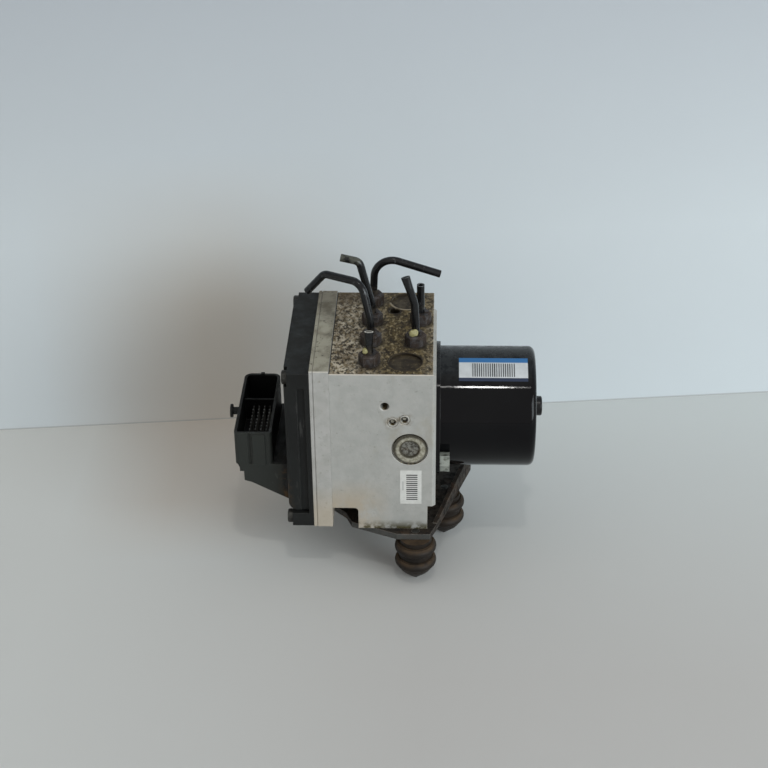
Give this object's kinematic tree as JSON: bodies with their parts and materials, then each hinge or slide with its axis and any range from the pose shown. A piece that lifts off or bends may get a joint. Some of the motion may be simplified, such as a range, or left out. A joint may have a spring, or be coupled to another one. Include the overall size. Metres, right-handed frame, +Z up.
{
  "type": "abs brake module",
  "caption": "Car anti-lock brake unit: aluminium valve block with pump motor, cut-off brake pipes, plastic controller and a bracket on rubber feet.",
  "frame": {"origin": "centre of the bounding box's footprint, at the tips of the rubber feet", "axes": "+X from the controller towards the motor, +Y from the label's face towards the back, +Z up, as the unit stands on its feet"},
  "size_m": [0.2056, 0.123, 0.2038],
  "materials": {
    "block_aluminium": "extruded aluminium block, satin, pitted and stained",
    "housing_aluminium": "cast aluminium housing, satin, dusty",
    "piston_aluminium": "turned aluminium, anodised",
    "black_plastic": "moulded black glass-filled plastic, dusty",
    "coil_plastic": "black moulded plastic",
    "component_black": "black moulded chip packages",
    "board_green": "green laminated board with clear lacquer",
    "black_rubber": "black seal rubber",
    "black_rubber_gloss": "black rubber with a smooth skin",
    "foot_rubber": "dark brown-black rubber, dusty on top",
    "zinc_steel": "zinc-plated steel",
    "bare_steel": "ground bare steel",
    "plug_steel": "pressed-in steel plug, rough",
    "spring_steel": "oiled spring wire",
    "corroded_bolt": "zinc-plated bolt with white corrosion",
    "gloss_black": "glossy black paint on drawn steel",
    "dark_cap": "dark phosphated cap under dirt",
    "dark_nut": "dark phosphated steel nut, corroded",
    "pipe_black": "steel tube with satin black coating",
    "rusty_steel": "pressed steel plate, black coating over rust",
    "white_label": "printed white sticker",
    "ferrite": "sintered ferrite",
    "carbon": "pressed carbon graphite",
    "copper": "bare and enamelled copper",
    "tin_brass": "tin-plated brass pins"
  },
  "bodies": {
    "unit": {"valve_block": "block_aluminium", "ecu_housing": "housing_aluminium", "ecu_cover": "black_plastic", "cover_seal": "black_rubber", "cover_screws": "zinc_steel", "housing_screws": "zinc_steel", "circuit_board": "board_green", "board_components": "component_black", "connector_pins": "tin_brass", "valve_coils": "coil_plastic", "coil_yokes": "zinc_steel", "valve_bodies": "bare_steel", "motor_can": "gloss_black", "motor_end_plate": "zinc_steel", "motor_magnets": "ferrite", "brush_holder": "coil_plastic", "motor_bearings": "bare_steel", "motor_bolts": "corroded_bolt", "motor_vent_plug": "black_rubber_gloss", "motor_seal": "black_rubber", "shaft_seal": "black_rubber", "pump_plugs": "plug_steel", "pump_sleeves": "bare_steel", "pump_springs": "spring_steel", "accumulator_caps": "dark_cap", "ball_plugs": "plug_steel", "pipe_nuts": "dark_nut", "pipe_front_left": "pipe_black", "pipe_second_left": "pipe_black", "pipe_third_left": "pipe_black", "pipe_rear_left": "pipe_black", "pipe_right": "pipe_black", "pipe_far_right": "pipe_black", "mounting_bracket": "rusty_steel", "rubber_feet": "foot_rubber", "foot_studs": "zinc_steel", "bracket_bolts": "zinc_steel", "block_label": "white_label", "motor_label": "white_label", "accumulator_spring_front": "spring_steel", "accumulator_spring_rear": "spring_steel"},
    "rotor": {"motor_shaft": "bare_steel", "armature_core": "bare_steel", "armature_windings": "copper", "commutator": "copper"},
    "eccentric_ring": {"eccentric_ring": "bare_steel"},
    "pump_piston_front": {"pump_piston_front": "bare_steel"},
    "pump_piston_rear": {"pump_piston_rear": "bare_steel"},
    "accumulator_piston_front": {"accumulator_piston_front": "piston_aluminium"},
    "accumulator_piston_rear": {"accumulator_piston_rear": "piston_aluminium"},
    "brush_front": {"brush_front": "carbon"},
    "brush_rear": {"brush_rear": "carbon"},
    "inlet_plunger_1": {"inlet_plunger_1": "bare_steel"},
    "outlet_plunger_1": {"outlet_plunger_1": "bare_steel"},
    "inlet_plunger_2": {"inlet_plunger_2": "bare_steel"},
    "outlet_plunger_2": {"outlet_plunger_2": "bare_steel"},
    "inlet_plunger_3": {"inlet_plunger_3": "bare_steel"},
    "outlet_plunger_3": {"outlet_plunger_3": "bare_steel"},
    "inlet_plunger_4": {"inlet_plunger_4": "bare_steel"},
    "outlet_plunger_4": {"outlet_plunger_4": "bare_steel"}
  },
  "joints": [
    {"name": "rotor_spin", "type": "hinge", "parent": "unit", "child": "rotor", "pos_m": [0.0167, 0.00802, 0.0991], "axis": [1, 0, 0], "continuous": true},
    {"name": "eccentric_ring_turn", "type": "hinge", "parent": "rotor", "child": "eccentric_ring", "pos_m": [0.0167, 0.00802, 0.1001], "axis": [1, 0, 0], "continuous": true},
    {"name": "pump_piston_front_slide", "type": "slide", "parent": "unit", "child": "pump_piston_front", "axis": [0, 1, 0], "range_m": [0, 0.001], "stiffness_N_per_m": 500},
    {"name": "pump_piston_rear_slide", "type": "slide", "parent": "unit", "child": "pump_piston_rear", "axis": [0, -1, 0], "range_m": [0, 0.001], "stiffness_N_per_m": 500},
    {"name": "accumulator_front_slide", "type": "slide", "parent": "unit", "child": "accumulator_piston_front", "axis": [0, 0, 1], "range_m": [0, 0.01], "stiffness_N_per_m": 1500, "springref_m": -0.004, "deforming": ["accumulator_spring_front"]},
    {"name": "accumulator_rear_slide", "type": "slide", "parent": "unit", "child": "accumulator_piston_rear", "axis": [0, 0, 1], "range_m": [0, 0.01], "stiffness_N_per_m": 1500, "springref_m": -0.004, "deforming": ["accumulator_spring_rear"]},
    {"name": "inlet_valve_1_slide", "type": "slide", "parent": "unit", "child": "inlet_plunger_1", "axis": [1, 0, 0], "range_m": [0, 0.00035], "stiffness_N_per_m": 800, "springref_m": -0.002},
    {"name": "inlet_valve_2_slide", "type": "slide", "parent": "unit", "child": "inlet_plunger_2", "axis": [1, 0, 0], "range_m": [0, 0.00035], "stiffness_N_per_m": 800, "springref_m": -0.002},
    {"name": "inlet_valve_3_slide", "type": "slide", "parent": "unit", "child": "inlet_plunger_3", "axis": [1, 0, 0], "range_m": [0, 0.00035], "stiffness_N_per_m": 800, "springref_m": -0.002},
    {"name": "inlet_valve_4_slide", "type": "slide", "parent": "unit", "child": "inlet_plunger_4", "axis": [1, 0, 0], "range_m": [0, 0.00035], "stiffness_N_per_m": 800, "springref_m": -0.002},
    {"name": "outlet_valve_1_slide", "type": "slide", "parent": "unit", "child": "outlet_plunger_1", "axis": [-1, 0, 0], "range_m": [0, 0.00035], "stiffness_N_per_m": 800, "springref_m": -0.002},
    {"name": "outlet_valve_2_slide", "type": "slide", "parent": "unit", "child": "outlet_plunger_2", "axis": [-1, 0, 0], "range_m": [0, 0.00035], "stiffness_N_per_m": 800, "springref_m": -0.002},
    {"name": "outlet_valve_3_slide", "type": "slide", "parent": "unit", "child": "outlet_plunger_3", "axis": [-1, 0, 0], "range_m": [0, 0.00035], "stiffness_N_per_m": 800, "springref_m": -0.002},
    {"name": "outlet_valve_4_slide", "type": "slide", "parent": "unit", "child": "outlet_plunger_4", "axis": [-1, 0, 0], "range_m": [0, 0.00035], "stiffness_N_per_m": 800, "springref_m": -0.002},
    {"name": "brush_front_slide", "type": "slide", "parent": "unit", "child": "brush_front", "axis": [0, -1, 0], "range_m": [0, 0.003], "stiffness_N_per_m": 200, "springref_m": -0.005},
    {"name": "brush_rear_slide", "type": "slide", "parent": "unit", "child": "brush_rear", "axis": [0, 1, 0], "range_m": [0, 0.003], "stiffness_N_per_m": 200, "springref_m": -0.005}
  ],
  "couplings": [
    {"joint": "eccentric_ring_turn", "follows": "rotor_spin", "ratio": -1}
  ]
}
